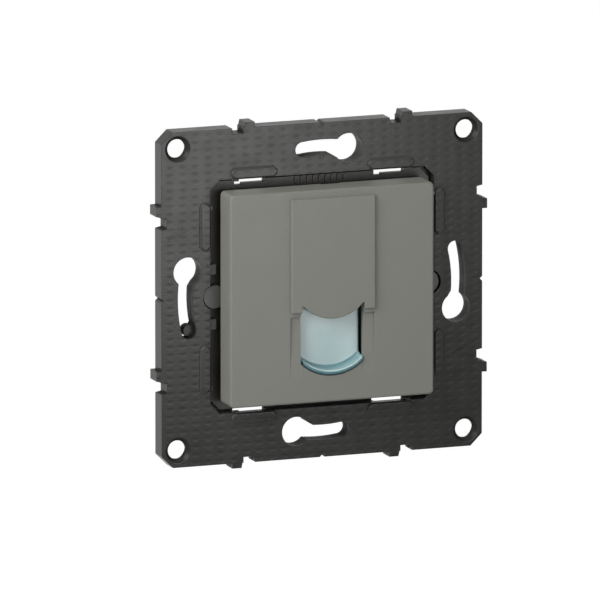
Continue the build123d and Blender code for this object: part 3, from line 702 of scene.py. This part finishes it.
def shutter_tongue(shape, material):
    """The tongue and its finger lip: the profile carried across x along the arched lower edge.

    Below the root each point lies at lower edge(x) + its height; above it the face climbs evenly to
    the flat top, and comes down again on the back."""
    half = shape.opening_half - shape.shutter_gap
    x = half * np.sin(np.linspace(-QUARTER, QUARTER, 49))
    profile, lip = shutter_profile(shape)
    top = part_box("dust_shutter")[1].z - shape.peg_length
    bottom = shutter_bottom(x, shape)[:, None]
    climb = np.concatenate([[0.012], np.linspace(0.0, 1.0, 13)[1:]])
    sink = np.linspace(0.0, 1.0, 9)[:-1]
    root = bottom + shape.root_height
    z = np.concatenate([bottom + profile[:, 0], root + (top - root) * climb, top + (bottom - top) * sink],
                       axis=1)
    y = np.concatenate([profile[:, 1], np.full(len(climb), shape.tongue_front),
                        np.full(len(sink), shape.tongue_back)])
    points = np.stack([np.broadcast_to(x[:, None], z.shape), np.broadcast_to(y, z.shape), z], axis=2)
    tongue = put_tube("shutter_tongue", points, "shutter", material, ("dust_shutter",))
    painted_tint = shutter_painted_tint(x, half, lip, climb, len(sink))
    attribute = tongue.data.attributes.new("painted_edge_light", "FLOAT", "POINT")
    attribute.data.foreach_set("value", painted_tint.astype(np.float32).ravel())
    soften(tongue, 0.10 * MM, angle=40.0)


def slab_loop(low, high, corner, steps=4):
    """A rectangle in depth and height with rounded corners, as a closed loop of points."""
    turn = np.linspace(0.0, QUARTER, steps)
    (near, under), (far, over) = np.add(low, corner), np.subtract(high, corner)
    loops = []
    for quarter, (y, z) in enumerate(((far, over), (near, over), (near, under), (far, under))):
        angle = turn + quarter * QUARTER
        loops.append(np.stack([y + corner * np.cos(angle), z + corner * np.sin(angle)], axis=1))
    return np.concatenate(loops)


def bar_across(name, half, loop, material):
    """A bar of the shutter: a closed loop in depth and height carried from -half to +half along x."""
    x = np.array([-half, -half + 0.1 * MM, half - 0.1 * MM, half])
    points = np.empty((len(x), len(loop), 3))
    points[:, :, 0] = x[:, None]
    points[:, :, 1:] = loop[None]
    bar = put_tube(name, points, "shutter", material)
    soften(bar, 0.06 * MM, angle=40.0)


def shutter_guide(shape, material):
    """The guided part behind the cover: a wide plate, the spring's seat and the peg on it."""
    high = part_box("dust_shutter")[1]
    top = high.z - shape.peg_length
    root, shoulder, tip = -0.3 * MM, 0.85 * shape.peg_length, 0.7
    front = shape.guide_back - shape.guide_thickness
    plate = slab_loop((front, shape.guide_bottom), (shape.guide_back, top), 0.15 * MM)
    bar_across("shutter_guide", high.x, plate, material)
    coil = shape.spring_radius + shape.spring_wire / 2
    axis = shape.guide_back - shape.spring_radius - shape.spring_wire / 2
    seat = slab_loop((axis - coil, top - shape.seat_height), (front + 0.2 * MM, top), 0.12 * MM)
    bar_across("shutter_seat", shape.seat_width / 2, seat, material)
    height = np.array([root, 0.0, shoulder, shape.peg_length])
    path = np.stack([np.zeros(4), np.full(4, axis), top + height], axis=1)
    radius = shape.peg_radius * np.array([1, 1, 1, tip])
    rings = ring_points(path, ACROSS, radius, PEG_SIDES)
    put_tube("shutter_peg", rings, "shutter", material)


# Spring and contacts

def spring_coil(shape, material):
    """The spring: a circle carried along a helix.

    The height rises with the turn as low + rise, where the first and last turn close up, because
    the rise is the running total of a pitch that eases from the wire's width to the open pitch."""
    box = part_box("shutter_spring")
    low = box[0].z + shape.spring_wire / 2
    high = box[1].z - shape.spring_wire / 2
    turns, steps, closed = shape.spring_turns + 2.0, 40, 0.12
    t = np.linspace(0.0, turns, int(turns * steps) + 1)
    edge = np.minimum(t, turns - t)
    opened = np.clip((edge - 0.75) / 0.5, 0.0, 1.0)
    pitch = closed + (1 - closed) * opened * opened * (3 - 2 * opened)
    rise = np.concatenate([[0.0], np.cumsum((pitch[1:] + pitch[:-1]) / 2)])
    z = low + (high - low) * rise / rise[-1]
    axis = (box[0].y + box[1].y) / 2
    angle = math.tau * t
    outward = np.stack([np.cos(angle), np.sin(angle), np.zeros_like(angle)], axis=1)
    path = outward * shape.spring_radius + np.stack([np.zeros_like(z), np.full_like(z, axis), z], axis=1)
    radius = shape.spring_wire / 2 * tapered_ends(len(t))
    rings = ring_points(path, outward, radius, WIRE_SIDES)
    coil = put_tube("spring_coil", rings, "outlet", material, ("shutter_spring",))
    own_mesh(coil)


def contact_wire(node, shape, material):
    """One contact: a round wire along a bent path in its slot's plane, from the board to its free end."""
    low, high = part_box(node)
    r = shape.contact_wire / 2
    x, run = (low.x + high.x) / 2, high.z - r
    front = low.y + r
    tail = front + shape.contact_reach
    corners = [(x, high.y, run), (x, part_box("contact_comb")[0].y, run), (x, front + shape.contact_nose, run),
               (x, front, run - shape.contact_drop), (x, tail - shape.contact_tip, low.z + r),
               (x, tail, low.z + r + shape.contact_lift)]
    path = round_corners(corners, shape.contact_bend)
    rings = ring_points(path, ACROSS, r * tapered_ends(len(path)), WIRE_SIDES)
    put_tube(f"{node}_wire", rings, "outlet", material, (node,))


# Stage

def seen_rays(tree):
    """1 for the rays of the camera, reflections and transmission, which see the white, and 0 for others."""
    path = tree.add("ShaderNodeLightPath").outputs
    seen = tree.maths("MAXIMUM", path["Is Camera Ray"], path["Is Glossy Ray"])
    return tree.maths("MAXIMUM", seen, path["Is Transmission Ray"])


def white_world(stage):
    """White round the object for the camera and for reflections, and an even light of its own strength."""
    world = bpy.data.worlds.new("studio")
    bpy.context.scene.world = world
    world.use_nodes = True
    tree = Tree(world.node_tree)
    light = tree.tree.nodes["Background"].inputs
    light["Color"].default_value = (1.0, 1.0, 1.0, 1.0)
    seen = tree.times(seen_rays(tree), 1.0 - stage.room_light)
    tree.feed(light["Strength"], tree.plus(seen, stage.room_light))
    tree.arrange()


def floor_material(stage):
    """Pale floor that shows white to the camera, keeps the object's shadow and is clear from below."""
    material, tree, shader = new_material("floor", Roughness=0.9, Specular_IOR_Level=0.1)
    mottle = tree.noise(tree.place(), 3.0)
    tree.feed(shader["Base Color"], tree.mix(mottle, (0.74, 0.74, 0.74, 1.0), (0.76, 0.76, 0.76, 1.0)))
    strength = tree.times(seen_rays(tree), stage.floor_glow)
    glow = tree.add("ShaderNodeEmission", {"Strength": strength}).outputs[0]
    matt = tree.tree.nodes["Principled BSDF"].outputs[0]
    lit = tree.add("ShaderNodeAddShader", {0: matt, 1: glow}).outputs[0]
    clear = tree.add("ShaderNodeBsdfTransparent").outputs[0]
    below = tree.add("ShaderNodeNewGeometry").outputs["Backfacing"]
    whole = tree.add("ShaderNodeMixShader", {0: below, 1: lit, 2: clear}).outputs[0]
    tree.feed(tree.tree.nodes["Material Output"].inputs["Surface"], whole)
    tree.arrange()
    return material


def pale_floor(stage, count=5):
    """A wide flat grid below the object."""
    reach = np.linspace(-stage.floor_reach, stage.floor_reach, count)
    x, y = np.meshgrid(reach, reach, indexing="ij")
    points = np.stack([x, y, np.full_like(x, stage.floor_height)], axis=2)
    mesh = bpy.data.meshes.new("floor")
    mesh.from_pydata(points.reshape(-1, 3).tolist(), [], [face[::-1] for face in grid_faces(count, count)])
    floor = bpy.data.objects.new("floor", mesh)
    bpy.context.scene.collection.objects.link(floor)
    mesh.materials.append(floor_material(stage))


def aim(thing, place, target):
    """Puts a lamp or camera at a place and turns it towards a target."""
    direction = Vector(target) - Vector(place)
    thing.location = place
    thing.rotation_mode = "QUATERNION"
    thing.rotation_quaternion = direction.to_track_quat("-Z", "Y")


def area_lamp(name, power, size, place, target=(0.0, 0.0, 0.0)):
    """A square soft lamp that the camera doesn't see."""
    light = bpy.data.lights.new(name, "AREA")
    light.size = size
    light.energy = power
    lamp = bpy.data.objects.new(name, light)
    lamp.visible_camera = False
    bpy.context.scene.collection.objects.link(lamp)
    aim(lamp, place, target)
    return lamp


def lamps(stage):
    """A near key light at the upper left, a fill behind, and a panel low on the right.

    The frame's sheen mirrors the panel, which gives the object no other light."""
    area_lamp("key", stage.key_light, size=0.24, place=(-0.27, -0.165, 0.19))
    fill = area_lamp("fill", stage.fill_light, size=0.40, place=(0.15, 0.50, 0.12))
    fill.visible_glossy = False
    panel = area_lamp("panel", stage.panel_light, size=0.115, place=(0.026, -0.21, 0.012),
                      target=(-0.045, 0.0, 0.045))
    panel.visible_diffuse = False


def photo_camera(stage, depth):
    """A long lens at the photograph's angle, aimed so that the frame's centre lies where it does there."""
    a, e = stage.azimuth, stage.elevation
    back = np.array([math.sin(a) * math.cos(e), -math.cos(a) * math.cos(e), math.sin(e)])
    right = np.array([math.cos(a), math.sin(a), 0.0])
    up = np.cross(back, right)
    target = np.array([0.0, depth, 0.0]) - right * stage.aim_left - up * stage.aim_down
    camera = bpy.data.cameras.new("camera")
    camera.lens = stage.lens
    camera.clip_end = 100.0
    camera_object = bpy.data.objects.new("camera", camera)
    bpy.context.scene.collection.objects.link(camera_object)
    aim(camera_object, tuple(target + back * stage.distance), tuple(target))
    bpy.context.scene.camera = camera_object


# Operators

class OUTLET_OT_frame(bpy.types.Operator):
    """Dress the mounting frame in dimpled dark grey plastic"""
    bl_idname = "outlet.frame"
    bl_label = "Mounting frame"

    def execute(self, context):
        base = context.scene.outlet_finish.frame_colour
        shape = context.scene.outlet_shape
        material = moulded_plastic("frame_plastic", base, roughness=0.32, spread=0.08, specular=0.12,
                                   dimples=True)
        dressed_moulding("mounting_frame", "frame_moulding", "outlet", material,
                         groove=(shape.groove_floor, shape.groove_shown))
        return {"FINISHED"}


class OUTLET_OT_cover(bpy.types.Operator):
    """Dress the square cover in warm grey matt plastic"""
    bl_idname = "outlet.cover"
    bl_label = "Cover"

    def execute(self, context):
        base = context.scene.outlet_finish.cover_colour
        material = moulded_plastic("cover_plastic", base, roughness=0.55, spread=0.02, wear=0.12,
                                   specular=0.2)
        dressed_moulding("front_cover", "cover_moulding", "outlet", material,
                         round_by=0.06 * MM)
        return {"FINISHED"}


class OUTLET_OT_carrier(bpy.types.Operator):
    """Dress the mechanism carrier in dark plastic"""
    bl_idname = "outlet.carrier"
    bl_label = "Mechanism carrier"

    def execute(self, context):
        base = context.scene.outlet_finish.carrier_colour
        material = moulded_plastic("carrier_plastic", base, roughness=0.38, spread=0.06, specular=0.20,
                                   painted_front_sheen=True)
        dressed_moulding("mechanism_carrier", "carrier_moulding", "outlet", material,
                         round_by=0.06 * MM)
        return {"FINISHED"}


class OUTLET_OT_shutter(bpy.types.Operator):
    """Make the translucent dust shutter with its finger lip"""
    bl_idname = "outlet.shutter"
    bl_label = "Dust shutter"

    def execute(self, context):
        material = shutter_plastic()
        shutter_tongue(context.scene.outlet_shape, material)
        shutter_guide(context.scene.outlet_shape, material)
        return {"FINISHED"}


class OUTLET_OT_spring(bpy.types.Operator):
    """Make the shutter's closing spring"""
    bl_idname = "outlet.spring"
    bl_label = "Shutter spring"

    def execute(self, context):
        base = context.scene.outlet_finish.spring_colour
        material = metal("spring_steel", base, roughness=0.28, stretch=(1.0, 1.0, 6.0), scale=2500.0)
        spring_coil(context.scene.outlet_shape, material)
        return {"FINISHED"}


class OUTLET_OT_contacts(bpy.types.Operator):
    """Make the eight bent contact wires"""
    bl_idname = "outlet.contacts"
    bl_label = "Contacts"

    def execute(self, context):
        base = context.scene.outlet_finish.gold_colour
        material = metal("contact_gold", base, roughness=0.22, stretch=(8.0, 1.0, 8.0), scale=1500.0)
        for node in CONTACTS:
            contact_wire(node, context.scene.outlet_shape, material)
        return {"FINISHED"}


class OUTLET_OT_jack(bpy.types.Operator):
    """Dress the jack's housing, comb, board and shield"""
    bl_idname = "outlet.jack"
    bl_label = "Jack"

    def execute(self, context):
        finish = context.scene.outlet_finish
        socket = moulded_plastic("socket_plastic", finish.socket_colour, roughness=0.42)
        dressed_moulding("jack_housing", "socket_moulding", "outlet", socket,
                         round_by=0.08 * MM)
        comb = moulded_plastic("comb_plastic", finish.comb_colour, spread=0.03, wear=0.1)
        finish_node("contact_comb", comb)
        finish_node("circuit_board", board_laminate())
        shield = metal("shield_steel", finish.steel_colour, roughness=0.40, stretch=(1.0, 14.0, 1.0),
                       scale=900.0, depth=0.0008 * MM)
        dressed_moulding("jack_shield", "shield_sleeve", "outlet", shield,
                         round_by=0.07 * MM)
        return {"FINISHED"}


class OUTLET_OT_wiring(bpy.types.Operator):
    """Dress the terminal block, its blades and the wiring cap"""
    bl_idname = "outlet.wiring"
    bl_label = "Wiring end"

    def execute(self, context):
        finish = context.scene.outlet_finish
        terminal = moulded_plastic("terminal_plastic", finish.terminal_colour, spread=0.03, wear=0.1)
        dressed_moulding("terminal_block", "terminal_moulding", "outlet", terminal,
                         round_by=0.06 * MM)
        blade = metal("blade_metal", finish.blade_colour, roughness=0.30, stretch=(1.0, 1.0, 10.0),
                      scale=1200.0)
        for node in BLADES:
            finish_node(node, blade)
        cap = moulded_plastic("cap_plastic", finish.cap_colour, spread=0.05)
        dressed_moulding("wiring_cap", "cap_moulding", "rear_cap", cap)
        return {"FINISHED"}


class OUTLET_OT_stage(bpy.types.Operator):
    """Set up the floor, the white surroundings, the lamps and the camera"""
    bl_idname = "outlet.stage"
    bl_label = "Stage"

    def execute(self, context):
        stage = context.scene.outlet_stage
        context.scene.view_settings.view_transform = "Standard"
        white_world(stage)
        pale_floor(stage)
        lamps(stage)
        photo_camera(stage, context.scene.outlet_shape.frame_front)
        return {"FINISHED"}


OPERATORS = (OUTLET_OT_frame, OUTLET_OT_cover, OUTLET_OT_carrier, OUTLET_OT_shutter, OUTLET_OT_spring,
             OUTLET_OT_contacts, OUTLET_OT_jack, OUTLET_OT_wiring, OUTLET_OT_stage)


class OUTLET_PT_pieces(bpy.types.Panel):
    """Lists the outlet's sizes, colours and pieces"""
    bl_idname = "OUTLET_PT_pieces"
    bl_label = "Modular jack outlet"
    bl_space_type = "VIEW_3D"
    bl_region_type = "UI"
    bl_category = "Outlet"

    def draw(self, context):
        for settings in (context.scene.outlet_finish, context.scene.outlet_shape, context.scene.outlet_stage):
            box = self.layout.box()
            for name in settings.bl_rna.properties.keys():
                if name not in ("rna_type", "name"):
                    box.prop(settings, name)
        for operator in OPERATORS:
            self.layout.operator(operator.bl_idname)


CLASSES = (OutletFinish, OutletShape, OutletStage) + OPERATORS + (OUTLET_PT_pieces,)


def register():
    """Adds the classes and their settings to Blender."""
    for made in CLASSES:
        bpy.utils.register_class(made)
    bpy.types.Scene.outlet_finish = PointerProperty(type=OutletFinish)
    bpy.types.Scene.outlet_shape = PointerProperty(type=OutletShape)
    bpy.types.Scene.outlet_stage = PointerProperty(type=OutletStage)


def unregister():
    """Takes the settings and the classes out again."""
    del bpy.types.Scene.outlet_stage
    del bpy.types.Scene.outlet_shape
    del bpy.types.Scene.outlet_finish
    for made in reversed(CLASSES):
        bpy.utils.unregister_class(made)


def main():
    """Registers the add-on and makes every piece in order."""
    register()
    bpy.ops.outlet.frame()
    bpy.ops.outlet.cover()
    bpy.ops.outlet.carrier()
    bpy.ops.outlet.shutter()
    bpy.ops.outlet.spring()
    bpy.ops.outlet.contacts()
    bpy.ops.outlet.jack()
    bpy.ops.outlet.wiring()
    bpy.ops.outlet.stage()


if __name__ == "__main__":
    main()
